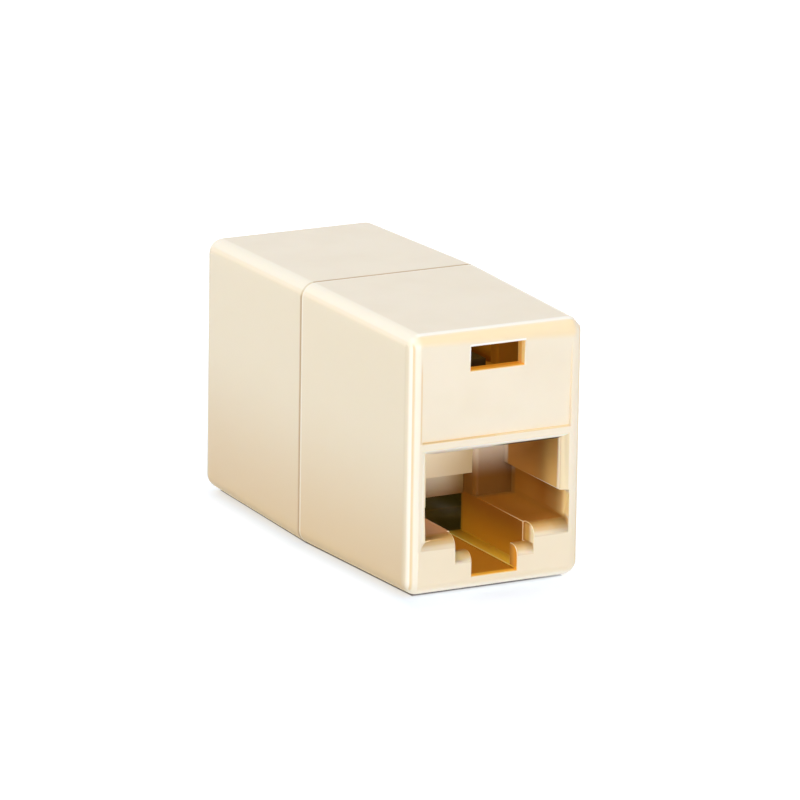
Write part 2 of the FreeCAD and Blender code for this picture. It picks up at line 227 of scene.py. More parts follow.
def axis_of(place, name):
    return place.add("ShaderNodeSeparateXYZ", {}, {"Vector": place}, output="XYZ".index(name))


def cloud(place, scale, detail=2.0):
    """Soft noise about 0, with so many waves to a metre."""
    sockets = {"Vector": place, "Scale": scale, "Detail": detail}
    return place.add("ShaderNodeTexNoise", {}, sockets) - 0.5


def mottled(place, scale, dark, light):
    """Two colours mixed by soft noise."""
    return (cloud(place, scale) + 0.5).ramp([(0, dark), (1, light)])


print("helpers:", [helper.__name__ for helper in (start_material, close_material, axis_of, cloud, mottled)])

# %% [markdown]
# Both halves are one moulding, turned half round, so a finish should look the same from either end. It asks
# where a point is for someone who faces the nearer end: how far right of the middle, how deep behind the end
# face and how high, all in millimetres. The walls are drafted, so the gaps to the side, the top and the foot
# allow for that. Two soft steps part the end face from what lies behind its rounded edge.

# %% Places on the moulding
SIDE_DRAFT = 0.42
TOP_DRAFT = 0.28
FOOT_DRAFT = 0.21
MIDDLE = (-0.1, 0.1)
END_FACE_DEPTH = (0.3, 0.6)
BEHIND_DEPTH = (0.5, 0.9)


class Spot:
    """Where a point of a surface is, in millimetres, for someone who faces the nearer end."""

    def __init__(self, place):
        self.along = axis_of(place, "Y") / MM
        self.right = axis_of(place, "X") / MM * place.sum("SIGN", self.along) * -1
        self.height = axis_of(place, "Z") / MM
        self.across = abs(self.right)
        self.from_seam = abs(self.along)
        self.depth = HALF_LENGTH - self.from_seam
        self.left = self.right.fall(*MIDDLE)

    def by_side(self, left, right):
        """One number left of the middle and another right of it."""
        return right + self.left * (left - right)

    def end_face(self):
        return self.depth.fall(*END_FACE_DEPTH)

    def behind(self):
        return self.depth.rise(*BEHIND_DEPTH)

    def side_gap(self):
        return HALF_WIDTH - self.from_seam * (SIDE_DRAFT / HALF_LENGTH) - self.across

    def top_gap(self):
        return TOP - self.from_seam * (TOP_DRAFT / HALF_LENGTH) - self.height

    def foot_gap(self):
        return self.height - self.from_seam * (FOOT_DRAFT / HALF_LENGTH)


print("end face, mm:", round(2 * (HALF_WIDTH - SIDE_DRAFT), 2), "wide, up to", round(TOP - TOP_DRAFT, 2))

# %% [markdown]
# Moulded plastic is never quite even. The melt leaves a faint flow in the gloss, the steel of the mould
# leaves a very fine grain, and light goes a little way in before it comes out, warmer than before. Noise
# in the roughness, a slight bump and subsurface scattering stand for the three. The colour comes first and is
# tinted layer by layer, so that one part of the moulding can be changed without the rest.

# %% Moulded plastic
FLOW_SCALE = 420
FLOW_IN_GLOSS = 0.08
GRAIN_SCALE = 5200
GRAIN_DETAIL = 3.0
GRAIN_STRENGTH = 0.04
GRAIN_DEPTH = 0.02 * MM
SCATTER_COLOUR = (1.0, 0.6, 0.25)


def moulded_finish(place, colour, roughness, gloss, scatter_weight, scatter_depth):
    rough = roughness + cloud(place, FLOW_SCALE) * FLOW_IN_GLOSS
    grain = cloud(place, GRAIN_SCALE, GRAIN_DETAIL)
    bump = {"Strength": GRAIN_STRENGTH, "Distance": GRAIN_DEPTH, "Height": grain}
    normal = place.add("ShaderNodeBump", {}, bump)
    close_material(place, {"Base Color": colour, "Roughness": rough, "Normal": normal}, {
        "Specular IOR Level": gloss,
        "Subsurface Weight": scatter_weight,
        "Subsurface Radius": SCATTER_COLOUR,
        "Subsurface Scale": scatter_depth,
    })


def layered_plastic(name, base_colour, layers, **moulding):
    """A moulded plastic: a base colour, tinted by each layer in turn."""
    material, place = start_material(name)
    spot = Spot(place)
    colour = base_colour(place, spot)
    for layer in layers:
        colour = layer(colour, spot)
    moulded_finish(place, colour, **moulding)
    return material


print("moulded grain:", GRAIN_DEPTH / MM, "mm deep")

# %% [markdown]
# The next cells are the layers of the outer skin. In each, a tint is a colour with its strength, a pair of
# numbers is a soft step, or a middle and half a width where the name says band, and four are a step up and a
# step down, all in millimetres. Painted shade makes the sides a shade darker than the top and tan towards the
# floor. The long edges are rounded and get a painted highlight, with a warm fringe below it, and the rounded
# foot edges a painted amber glow.

# %% Sides and long edges
SIDE_SHADE = (0.84, 0.735, 0.545, 1)
SIDE_ACROSS = (7.6, 7.8)
LOW_SHADE = (0.71, 0.52, 0.29, 0.85)
LOW_HEIGHT = (0.0, 14.0)
FOOT_SHADE = (0.74, 0.55, 0.27, 0.7)
FOOT_HEIGHT = (0.4, 2.0)
NEAR_SIDE = (1.05, 1.25)
LONG_EDGE_HIGHLIGHT = (0.94, 0.87, 0.73, 1)
LONG_EDGE_GAP = (0.74, 0.92)
HIGHLIGHT_WARM_FRINGE = (0.93, 0.80, 0.60, 0.7)
BORDER_BAND = (0.76, 0.26)
FOOT_EDGE_GLOW = (1.0, 0.74, 0.35, 0.8)
FOOT_EDGE_GAP = (0.30, 0.65)


# Painted shade: the sides a little darker than the top, and tan towards the floor.
def tint_sides(colour, spot):
    sides = spot.across.rise(*SIDE_ACROSS) * spot.behind()
    colour = colour.tint(SIDE_SHADE, sides)
    colour = colour.tint(LOW_SHADE, spot.height.fall(*LOW_HEIGHT) * spot.behind())
    return colour.tint(FOOT_SHADE, spot.height.fall(*FOOT_HEIGHT) * sides)


def near_side(spot):
    """1 on the sides and on the rounded edges that border them."""
    return spot.side_gap().fall(*NEAR_SIDE) * spot.behind()


# Painted highlight on the rounded top edges, with a warm fringe below it, and a painted amber glow on the
# rounded foot edges.
def tint_long_edges(colour, spot):
    edges = near_side(spot)
    colour = colour.tint(LONG_EDGE_HIGHLIGHT, edges * spot.top_gap().fall(*LONG_EDGE_GAP))
    colour = colour.tint(HIGHLIGHT_WARM_FRINGE, edges * spot.top_gap().band(*BORDER_BAND))
    return colour.tint(FOOT_EDGE_GLOW, edges * spot.foot_gap().fall(*FOOT_EDGE_GAP))


print("rounded long edges: pale within", LONG_EDGE_GAP[0], "mm of the top")

# %% [markdown]
# On a real port a sloped lead-in beside the mouth guides the plug. In the photograph the slope on the left is
# pale, with a warm rim where it meets the throat, and the one on the right is tan. The end face below the
# mouth is a little darker than the panel. All of it is one moulding, so tints and not pieces tell it apart.

# %% Lead-in beside the mouth
LOW_FACE_SHADE = (0.82, 0.69, 0.48, 0.45)
LOW_FACE_HEIGHT = (3.0, 7.0)
MOUTH_HEIGHT = (4.4, 4.8, 12.2, 12.4)
LEAD_IN_ACROSS = (6.66, 6.70)
LEAD_IN_DEPTH = (0.02, 0.06)
LEAD_IN_HIGHLIGHT = (0.95, 0.88, 0.74, 1)
LEAD_IN_SHADE = (0.84, 0.71, 0.47, 1)
LEAD_IN_RIM_GLOW = (1.0, 0.86, 0.60, 1)
LEAD_IN_RIM_DEPTH = (0.15, 0.21)


# Painted shade darkens the end face below the mouth. The left slope gets a painted highlight with a painted
# warm glow on its rim, and the right slope painted tan shade.
def tint_lead_in(colour, spot):
    colour = colour.tint(LOW_FACE_SHADE, spot.height.fall(*LOW_FACE_HEIGHT) * spot.end_face())
    slope = spot.across.fall(*LEAD_IN_ACROSS) * spot.depth.rise(*LEAD_IN_DEPTH)
    slope = slope * spot.height.within(*MOUTH_HEIGHT)
    colour = colour.tint(LEAD_IN_HIGHLIGHT, slope * spot.left)
    colour = colour.tint(LEAD_IN_SHADE, slope * (1 - spot.left))
    return colour.tint(LEAD_IN_RIM_GLOW, slope * spot.left * spot.depth.rise(*LEAD_IN_RIM_DEPTH))


print("mouth from", MOUTH_HEIGHT[1], "to", MOUTH_HEIGHT[2], "mm high")

# %% [markdown]
# The rounded rim of the end face gathers the light that has gone into the wall, and its lines are painted
# light and shade: a painted highlight down each upright, a painted amber shade line inside that, and on the
# left a painted pale strip inside that again; painted shade where each upright turns to the side; a painted
# highlight along the top crest with a painted warm glow on the brow below it; and a painted highlight on the
# toe at the floor. Thin strips of geometry could carry these colours, but they aren't pieces, so masks draw
# them.

# %% Rim of the end face
TOE_HIGHLIGHT = (0.98, 0.94, 0.83, 0.8)
TOE_HEIGHT = (0.45, 0.9)
TOE_DEPTH = (0.9, 1.2)
BETWEEN_UPRIGHTS = (6.8, 7.2)
BROW_GLOW = (0.93, 0.72, 0.40, 0.6)
BROW_FOOT = (20.1, 20.75)
BROW_TOP = (21.3, 21.5)
BROW_SLOPE = 0.045
CREST_HIGHLIGHT = (0.98, 0.95, 0.88, 0.8)
CREST_BAND = (0.70, 0.27)
CREST_HEIGHT = (20.6, 21.2)
UPRIGHT_HEIGHT = (0.35, 0.8, 20.6, 21.0)
CORNER_SHADE = (0.74, 0.64, 0.46, 0.6)
CORNER_ACROSS = (7.72, 7.76)
CORNER_DEPTH = (0.85, 1.1)
STRIP_HIGHLIGHT = (0.93, 0.87, 0.74, 0.7)
STRIP_ACROSS = (6.88, 6.94, 7.28, 7.34)
RIM_HIGHLIGHT = (0.97, 0.93, 0.84, 0.8)
RIM_BAND = (7.62, 0.14)
RIM_SHADE_LINE = (0.80, 0.60, 0.32, 0.7)
RIM_AMBER_BAND = (7.45, 0.10)


def tint_top_and_toe(colour, spot):
    between = spot.across.fall(*BETWEEN_UPRIGHTS)
    colour = colour.tint(TOE_HIGHLIGHT, spot.height.fall(*TOE_HEIGHT) * spot.depth.fall(*TOE_DEPTH))
    brow = (spot.height + spot.right * BROW_SLOPE).rise(*BROW_FOOT) * spot.height.fall(*BROW_TOP)
    colour = colour.tint(BROW_GLOW, brow * between * spot.end_face())
    return colour.tint(CREST_HIGHLIGHT, spot.depth.band(*CREST_BAND) * spot.height.rise(*CREST_HEIGHT) * between)


def tint_uprights(colour, spot):
    uprights = spot.height.within(*UPRIGHT_HEIGHT)
    corner = spot.across.rise(*CORNER_ACROSS) * spot.depth.fall(*CORNER_DEPTH)
    colour = colour.tint(CORNER_SHADE, corner * uprights)
    uprights = uprights * spot.end_face()
    colour = colour.tint(STRIP_HIGHLIGHT, spot.across.within(*STRIP_ACROSS) * spot.left * uprights)
    colour = colour.tint(RIM_HIGHLIGHT, spot.across.band(*RIM_BAND) * uprights)
    return colour.tint(RIM_SHADE_LINE, spot.across.band(*RIM_AMBER_BAND) * uprights)


print("rim lines at", RIM_BAND[0], "and", RIM_AMBER_BAND[0], "mm from the middle")

# %% [markdown]
# The panel above the port lies a little deeper than its frame, and its step gets a painted amber shade line
# along the sill and down each side, stronger on the left. A painted white highlight marks the sharp upper and
# left edges of the window. The halves close tight, so their seam is drawn as colour and not as a gap: a fine
# tan line of painted shade, faint where it crosses the rounded edges, with a painted pale highlight beside it
# on the front half.

# %% Panel, window rim and seam
PANEL_HEIGHT = (12.66, 12.74, 18.0, 20.0)
PANEL_STEP_SHADE = (0.79, 0.58, 0.33, 1)
PANEL_LINE = (0.04, 0.09)
PANEL_LINE_ACROSS = {"left": 6.80, "right": 6.69}
PANEL_LINE_SHARE = {"left": 0.75, "right": 0.28}
SILL_SHADE = (0.80, 0.56, 0.25, 1)
SILL_SHARE = {"left": 0.8, "right": 0.6}
SILL_BAND = (12.72, 0.09)
SILL_ACROSS = (6.65, 6.75)
WINDOW_HIGHLIGHT = (1.0, 0.98, 0.95, 0.9)
WINDOW_TOP_BAND = (20.31, 0.11)
WINDOW_ACROSS = (2.45, 2.55)
WINDOW_LEFT_BAND = (-2.50, 0.09)
WINDOW_LEFT_HEIGHT = (18.9, 19.2, 20.3, 20.4)
BESIDE_SEAM_HIGHLIGHT = (0.97, 0.92, 0.81, 0.55)
BESIDE_SEAM_BAND = (0.28, 0.12)
FRONT_HALF = (-0.1, 0.0)
SEAM_SHADE = (0.62, 0.45, 0.28, 1)
SEAM_WIDTH = (0.11, 0.18)
ROLLED_GAP = (0.8, 1.2)
SEAM_LOST_ON_EDGE = 0.65


def tint_panel(colour, spot):
    from_line = abs(spot.across - spot.by_side(**PANEL_LINE_ACROSS))
    line = from_line.fall(*PANEL_LINE) * spot.height.within(*PANEL_HEIGHT) * spot.end_face()
    colour = colour.tint(PANEL_STEP_SHADE, line * spot.by_side(**PANEL_LINE_SHARE))
    sill = spot.height.band(*SILL_BAND) * spot.across.fall(*SILL_ACROSS) * spot.end_face()
    return colour.tint(SILL_SHADE, sill * spot.by_side(**SILL_SHARE))


def tint_window_rim(colour, spot):
    upper = spot.height.band(*WINDOW_TOP_BAND) * spot.across.fall(*WINDOW_ACROSS)
    left = spot.right.band(*WINDOW_LEFT_BAND) * spot.height.within(*WINDOW_LEFT_HEIGHT)
    return colour.tint(WINDOW_HIGHLIGHT, upper.larger(left) * spot.end_face())


def tint_seam(colour, spot):
    beside = spot.from_seam.band(*BESIDE_SEAM_BAND) * spot.along.fall(*FRONT_HALF)
    colour = colour.tint(BESIDE_SEAM_HIGHLIGHT, beside)
    rolled = near_side(spot) * spot.top_gap().fall(*ROLLED_GAP)
    return colour.tint(SEAM_SHADE, spot.from_seam.fall(*SEAM_WIDTH) * (1 - rolled * SEAM_LOST_ON_EDGE))


print("seam line:", 2 * SEAM_WIDTH[1], "mm wide at most")

# %% [markdown]
# With its layers ready, the skin is one call: a warm cream with a faint flow from the moulding, semi-gloss,
# and only a little light under the surface.

# %% Ivory skin
IVORY = (0.88, 0.79, 0.64)
IVORY_FLOW = (0.85, 0.755, 0.60)
IVORY_FLOW_SCALE = 240
IVORY_FLOW_STEP = (-0.2, 0.4)
SKIN_LAYERS = (
    tint_sides, tint_long_edges, tint_lead_in, tint_top_and_toe, tint_uprights,
    tint_panel, tint_window_rim, tint_seam,
)


def skin_colour(place, spot):
    return cloud(place, IVORY_FLOW_SCALE).rise(*IVORY_FLOW_STEP).ramp([(0, IVORY), (1, IVORY_FLOW)])


ivory_skin = layered_plastic(
    "ivory_skin", skin_colour, SKIN_LAYERS,
    roughness=0.34, gloss=0.5, scatter_weight=0.12, scatter_depth=0.5 * MM,
)
print(ivory_skin.name, "has", len(SKIN_LAYERS), "layers")

# %% [markdown]
# Inside the port and the window the light has come through the wall or bounced many times, so the same
# plastic looks amber and then brown. To trace that light would take very many bounces, so a ramp on the depth
# behind the end face gives the change of colour instead. It runs further in above the ledges, and furthest in
# the throat, which is the upper part of the port.

# %% Colour by depth
WALL_HEIGHT = (4.9, 5.3)
THROAT_HEIGHT = (6.8, 7.4)
CHANNEL_SPAN = 3.0
WALL_SPAN = 5.3
THROAT_SPAN = 3.7
START_DEPTH = 0.03
WALL_START_DEPTH = 0.27
DEPTH_STOPS = [
    (0.00, (0.78, 0.66, 0.49)),
    (0.03, (0.68, 0.50, 0.28)),
    (0.10, (0.58, 0.36, 0.14)),
    (0.22, (0.44, 0.24, 0.07)),
    (0.46, (0.32, 0.120, 0.017)),
    (1.00, (0.27, 0.097, 0.009)),
]


def inside_colour(place, spot):
    walls = spot.height.rise(*WALL_HEIGHT)
    throat = spot.height.rise(*THROAT_HEIGHT)
    span = CHANNEL_SPAN + walls * WALL_SPAN + throat * THROAT_SPAN
    return ((spot.depth - START_DEPTH - walls * WALL_START_DEPTH) / span).ramp(DEPTH_STOPS)


print("the colour sinks over", CHANNEL_SPAN, "to", CHANNEL_SPAN + WALL_SPAN + THROAT_SPAN, "mm")

# %% [markdown]
# A painted glow lies on the throat's walls just behind the mouth, where the outer wall is lit, painted shade
# browns them further in, and the right one has a painted highlight on its rounded edge. The cheeks below get
# a painted amber glow at the front and painted shade further in. The lintel over the mouth gets a painted
# highlight, with a painted shadow along its lower edge towards the right. Masks on depth and height find
# these places, so no face has to be picked by hand.

# %% Throat, cheeks and lintel
THROAT_SHADE = (0.42, 0.19, 0.04, 1)
THROAT_BROWN_DEPTH = (3.0, 5.0)
THROAT_GLOW = (0.84, 0.55, 0.18, 0.75)
THROAT_GLOW_DEPTH = (0.4, 0.8, 1.2, 3.6)
RIGHT_HALF = (0.0, 1.0)
THROAT_EDGE_HIGHLIGHT = (1.0, 0.90, 0.70, 0.8)
THROAT_EDGE_BAND = (0.66, 0.22)
CHEEK_GLOW = (0.98, 0.74, 0.33, 0.8)
CHEEK_HEIGHT = (5.1, 5.4, 7.0, 7.3)
CHEEK_DEPTH = (0.6, 1.4)
CHEEK_SHADE = (0.20, 0.06, 0.0, 0.45)
CHEEK_SHADE_RIGHT = (6.55, 6.65)
CHEEK_SHADE_HEIGHT = (5.0, 5.2, 7.0, 7.3)
CHEEK_SHADE_DEPTH = (0.8, 2.6, 4.0, 7.0)
LINTEL_HIGHLIGHT = (0.98, 0.92, 0.81, 1)
LINTEL_HEIGHT = (11.6, 11.7, 12.3, 12.4)
LINTEL_DEPTH = (0.36, 0.42)
LINTEL_SHADOW = (0.08, 0.055, 0.03, 1)
LINTEL_DARK_HEIGHT = (11.82, 11.88)
LINTEL_DARK_RIGHT = (-0.8, 1.5)


def tint_throat(colour, spot):
    throat = spot.height.rise(*THROAT_HEIGHT)
    colour = colour.tint(THROAT_SHADE, throat * spot.depth.rise(*THROAT_BROWN_DEPTH))
    colour = colour.tint(THROAT_GLOW, throat * spot.depth.within(*THROAT_GLOW_DEPTH))
    edge = spot.depth.band(*THROAT_EDGE_BAND) * spot.right.rise(*RIGHT_HALF)
    return colour.tint(THROAT_EDGE_HIGHLIGHT, throat * edge)


def tint_cheeks(colour, spot):
    colour = colour.tint(CHEEK_GLOW, spot.height.within(*CHEEK_HEIGHT) * spot.depth.fall(*CHEEK_DEPTH))
    shade = spot.right.rise(*CHEEK_SHADE_RIGHT) * spot.height.within(*CHEEK_SHADE_HEIGHT)
    return colour.tint(CHEEK_SHADE, shade * spot.depth.within(*CHEEK_SHADE_DEPTH))


def tint_lintel(colour, spot):
    lintel = spot.height.within(*LINTEL_HEIGHT) * spot.depth.fall(*LINTEL_DEPTH)
    colour = colour.tint(LINTEL_HIGHLIGHT, lintel)
    lower_edge = spot.height.fall(*LINTEL_DARK_HEIGHT) * spot.right.rise(*LINTEL_DARK_RIGHT)
    return colour.tint(LINTEL_SHADOW, lintel * lower_edge)


print("throat from", THROAT_HEIGHT[1], "mm up, lintel at", LINTEL_HEIGHT[1:3])

# %% [markdown]
# Below the ledges runs the channel for the plug's latch. Light comes up through the thin bottom of the shell,
# so a painted glow turns its walls golden towards the floor, a narrow step beside the floor golden and
# yellow, and the floor's front edge bright orange, while painted shade browns the floor further in. A lamp
# under the floor could do this, but it would light the rest too, and a tint keeps to its place. Painted shade
# darkens the left ledge behind its rounded nose.

# %% Latch channel
LEFT_LEDGE_SHADE = (0.46, 0.22, 0.10, 1)
LEFT_LEDGE_RIGHT = (-3.0, -2.4)
LEFT_LEDGE_HEIGHT = (4.6, 4.8)
LEFT_LEDGE_DEPTH = (1.0, 1.6)
CHANNEL_GLOW = (0.52, 0.215, 0.011, 1)
CHANNEL_HEIGHT = (1.5, 5.0)
CHANNEL_DEPTH = (0.6, 2.0)
BEHIND_LIP_EDGE = (0.3, 0.8)
STEP_HEIGHT = (1.49, 1.54)
STEP_GLOW = (0.64, 0.31, 0.014, 1)
STEP_DEEP_GLOW = (0.90, 0.48, 0.02, 0.45)
STEP_DEEP_DEPTH = (5.0, 10.0)
STEP_BRIGHT_GLOW = (0.84, 0.51, 0.05, 1)
STEP_YELLOW_RIGHT = (2.1, 3.1)
CHANNEL_FLOOR_SHADE = (0.44, 0.165, 0.010, 1)
FLOOR_HEIGHT = (1.38, 1.42)
FLOOR_EDGE_GLOW = (0.94, 0.46, 0.04, 1)
FLOOR_EDGE_HEIGHT = (1.5, 1.6)
FLOOR_EDGE_DEPTH = (0.25, 0.75)


def tint_channel(colour, spot):
    ledge = spot.right.fall(*LEFT_LEDGE_RIGHT) * spot.height.rise(*LEFT_LEDGE_HEIGHT)
    colour = colour.tint(LEFT_LEDGE_SHADE, ledge * spot.depth.rise(*LEFT_LEDGE_DEPTH))
    return colour.tint(CHANNEL_GLOW, spot.height.fall(*CHANNEL_HEIGHT) * spot.depth.rise(*CHANNEL_DEPTH))


def tint_channel_floor(colour, spot):
    inside = spot.depth.rise(*BEHIND_LIP_EDGE)
    step = spot.height.fall(*STEP_HEIGHT) * inside
    colour = colour.tint(STEP_GLOW, step)
    colour = colour.tint(STEP_DEEP_GLOW, step * spot.depth.rise(*STEP_DEEP_DEPTH))
    colour = colour.tint(STEP_BRIGHT_GLOW, step * spot.right.fall(*STEP_YELLOW_RIGHT))
    colour = colour.tint(CHANNEL_FLOOR_SHADE, spot.height.fall(*FLOOR_HEIGHT) * inside)
    edge = spot.height.fall(*FLOOR_EDGE_HEIGHT) * spot.depth.fall(*FLOOR_EDGE_DEPTH)
    return colour.tint(FLOOR_EDGE_GLOW, edge)


print("channel floor below", FLOOR_HEIGHT[1], "mm, its step below", STEP_HEIGHT[1])

# %% [markdown]
# The lip that holds the plug's latch has a stepped notch. Its upright faces turn from amber to pale towards
# the end face: a painted amber glow on the notch's sides, and painted amber shade on the risers that gives
# way to a painted highlight. The step on the left gets a painted highlight too. Each mask names the narrow
# range across the port where such a face stands.

# %% Lip and its notch
NOTCH_GLOW = (0.82, 0.38, 0.05, 1)
NOTCH_ACROSS = (1.95, 2.02, 2.10, 2.18)
NOTCH_HEIGHT = (1.45, 1.6, 3.1, 3.3)
NOTCH_DEPTH = (0.2, 1.5)
RISER_SHADE = (0.64, 0.36, 0.09, 1)
RISER_HIGHLIGHT = (0.95, 0.80, 0.55, 1)
RISER_ACROSS = (3.45, 3.52, 3.58, 3.64)
RISER_HEIGHT = (3.25, 3.4, 4.6, 4.8)
RISER_DEPTH = (1.4, 1.5)
RISER_PALE_DEPTH = (0.35, 0.95)
LEFT_STEP_HIGHLIGHT = (1.0, 0.78, 0.38, 1)
LEFT_STEP_RIGHT = (-3.65, -3.6, -3.3, -2.2)
LEFT_STEP_HEIGHT = (2.7, 2.9, 3.4, 3.5)
LEFT_STEP_DEPTH = (0.65, 1.0)


def tint_lip(colour, spot):
    notch = spot.across.within(*NOTCH_ACROSS) * spot.height.within(*NOTCH_HEIGHT)
    colour = colour.tint(NOTCH_GLOW, notch * spot.depth.fall(*NOTCH_DEPTH))
    riser = spot.across.within(*RISER_ACROSS) * spot.height.within(*RISER_HEIGHT)
    riser = riser * spot.depth.fall(*RISER_DEPTH)
    colour = colour.tint(RISER_SHADE, riser)
    colour = colour.tint(RISER_HIGHLIGHT, riser * spot.depth.fall(*RISER_PALE_DEPTH))
    step = spot.right.within(*LEFT_STEP_RIGHT) * spot.height.within(*LEFT_STEP_HEIGHT)
    return colour.tint(LEFT_STEP_HIGHLIGHT, step * spot.depth.fall(*LEFT_STEP_DEPTH))


print("notch", 2 * NOTCH_ACROSS[1], "mm wide, risers", 2 * RISER_ACROSS[1], "mm apart")

# %% [markdown]
# At the port's back a wall stands beside the carrier: painted shade darkens its foot, and painted light makes
# it pale where light from the mouth reaches it. A painted orange glow lies on the window's thin frame, most
# on the jamb that faces the light, with a painted highlight at the jamb's front and a brighter painted glow
# along the front of its sill. Painted shade makes the chambers behind the panel brown, and what lies beyond
# the port's back nearly black. What lies furthest in is tinted last, over the rest.

# %% Back wall, window and chambers
BACK_WALL_SHADE = (0.20, 0.08, 0.012, 1)
BACK_WALL_LIGHT = (0.88, 0.77, 0.61, 1)
BACK_WALL_DEPTH = (8.7, 9.1)
BACK_WALL_HEIGHT = (4.7, 4.9, 11.8, 12.2)
BACK_WALL_LIT_HEIGHT = (6.2, 10.0)
WINDOW_GLOW = (0.90, 0.33, 0.02, 0.97)
WINDOW_FOOT = (17.8, 18.1)
JAMB_GLOW = (0.86, 0.46, 0.11, 1)
JAMB_HIGHLIGHT = (1.0, 0.72, 0.30, 1)
JAMB_RIGHT = (2.3, 2.4)
JAMB_PALE_DEPTH = (0.5, 0.7)
WINDOW_SILL_GLOW = (0.96, 0.45, 0.05, 1)
WINDOW_SILL_HEIGHT = (18.24, 18.3)
WINDOW_SILL_DEPTH = (0.4, 0.7)
LOFT_SHADE = (0.46, 0.16, 0.009, 1)
LOFT_FAR_SHADE = (0.37, 0.13, 0.007, 1)
LOFT_HEIGHT = (12.4, 12.8)
LOFT_DEPTH = (1.24, 1.3)
LOFT_FAR_DEPTH = (12.5, 13.3)
HIDDEN_SHADE = (0.05, 0.032, 0.004, 1)
HIDDEN_DEPTH = (11.2, 12.2)
HIDDEN_HEIGHT = (12.0, 12.6)


def tint_back_wall(colour, spot):
    wall = spot.depth.rise(*BACK_WALL_DEPTH) * spot.height.within(*BACK_WALL_HEIGHT)
    colour = colour.tint(BACK_WALL_SHADE, wall)
    return colour.tint(BACK_WALL_LIGHT, wall * spot.height.rise(*BACK_WALL_LIT_HEIGHT))


def tint_window(colour, spot):
    window = spot.height.rise(*WINDOW_FOOT)
    colour = colour.tint(WINDOW_GLOW, window)
    jamb = window * spot.right.rise(*JAMB_RIGHT)
    colour = colour.tint(JAMB_GLOW, jamb)
    colour = colour.tint(JAMB_HIGHLIGHT, jamb * spot.depth.fall(*JAMB_PALE_DEPTH))
    sill = spot.height.fall(*WINDOW_SILL_HEIGHT) * spot.depth.fall(*WINDOW_SILL_DEPTH)
    return colour.tint(WINDOW_SILL_GLOW, window * sill)


def tint_chambers(colour, spot):
    loft = spot.height.rise(*LOFT_HEIGHT) * spot.depth.rise(*LOFT_DEPTH)
    colour = colour.tint(LOFT_SHADE, loft)
    colour = colour.tint(LOFT_FAR_SHADE, loft * spot.depth.rise(*LOFT_FAR_DEPTH))
    return colour.tint(HIDDEN_SHADE, spot.depth.rise(*HIDDEN_DEPTH) * spot.height.fall(*HIDDEN_HEIGHT))


print("port's back", BACK_WALL_DEPTH[1], "mm deep, window from", WINDOW_FOOT[1], "mm up")

# %% [markdown]
# Softened edges inside get painted highlights, lighter than the faces beside them, because they turn towards
# the mouth. They get the same finish with one more layer, and so become a third ivory.

# %% Ivory inside and its edges
EDGE_HIGHLIGHT = (0.88, 0.66, 0.38, 0.6)
EDGE_DEPTH = (0.0, 9.0)
STEP_EDGE_HIGHLIGHT = (0.84, 0.62, 0.17, 1)
STEP_EDGE_HEIGHT = (1.6, 1.8)
STEP_EDGE_DEPTH = (0.3, 0.6)
WALL_EDGE_HIGHLIGHT = (0.98, 0.93, 0.84, 1)
WALL_EDGE_BAND = (7.4, 0.3)
WALL_EDGE_DEPTH = (2.0, 6.0)
LEFT_NOSE_HIGHLIGHT = (1.0, 0.76, 0.42, 1)
LEFT_NOSE_HEIGHT = (4.0, 4.4, 5.0, 5.2)
LEFT_NOSE_RIGHT = (-2.6, -2.0)
LEFT_NOSE_DEPTH = (3.0, 7.0)
INSIDE_LAYERS = (
    tint_throat, tint_cheeks, tint_lintel, tint_channel, tint_channel_floor,
    tint_back_wall, tint_window, tint_chambers, tint_lip,
)
INSIDE_MOULDING = {"roughness": 0.38, "gloss": 0.1, "scatter_weight": 0.4, "scatter_depth": 1.5 * MM}


def tint_edges(colour, spot):
    colour = colour.tint(EDGE_HIGHLIGHT, spot.depth.fall(*EDGE_DEPTH))
    step = spot.height.fall(*STEP_EDGE_HEIGHT) * spot.depth.rise(*STEP_EDGE_DEPTH)
    colour = colour.tint(STEP_EDGE_HIGHLIGHT, step)
    wall = spot.height.band(*WALL_EDGE_BAND) * spot.depth.fall(*WALL_EDGE_DEPTH)
    colour = colour.tint(WALL_EDGE_HIGHLIGHT, wall * spot.right.rise(*RIGHT_HALF))
    nose = spot.height.within(*LEFT_NOSE_HEIGHT) * spot.right.fall(*LEFT_NOSE_RIGHT)
    return colour.tint(LEFT_NOSE_HIGHLIGHT, nose * spot.depth.fall(*LEFT_NOSE_DEPTH))


ivory_inside = layered_plastic("ivory_inside", inside_colour, INSIDE_LAYERS, **INSIDE_MOULDING)
ivory_edge_highlight = layered_plastic("ivory_edge_highlight", inside_colour, (*INSIDE_LAYERS, tint_edges), **INSIDE_MOULDING)
print(ivory_inside.name, "and", ivory_edge_highlight.name, "share", len(INSIDE_LAYERS), "layers")

# %% [markdown]
# The carrier holds the contacts and closes the port's back. It is a paler, more matt plastic. Light reaches
# it from the left, so painted shade darkens it to the right, most on its stepped nose, and painted highlights
# lighten the nose and the block above it on the left. Its comb stands in the dark chamber behind the window,
# and painted shade makes it black, turning brown further in. It is layered as the ivories are, over a base of
# its own.

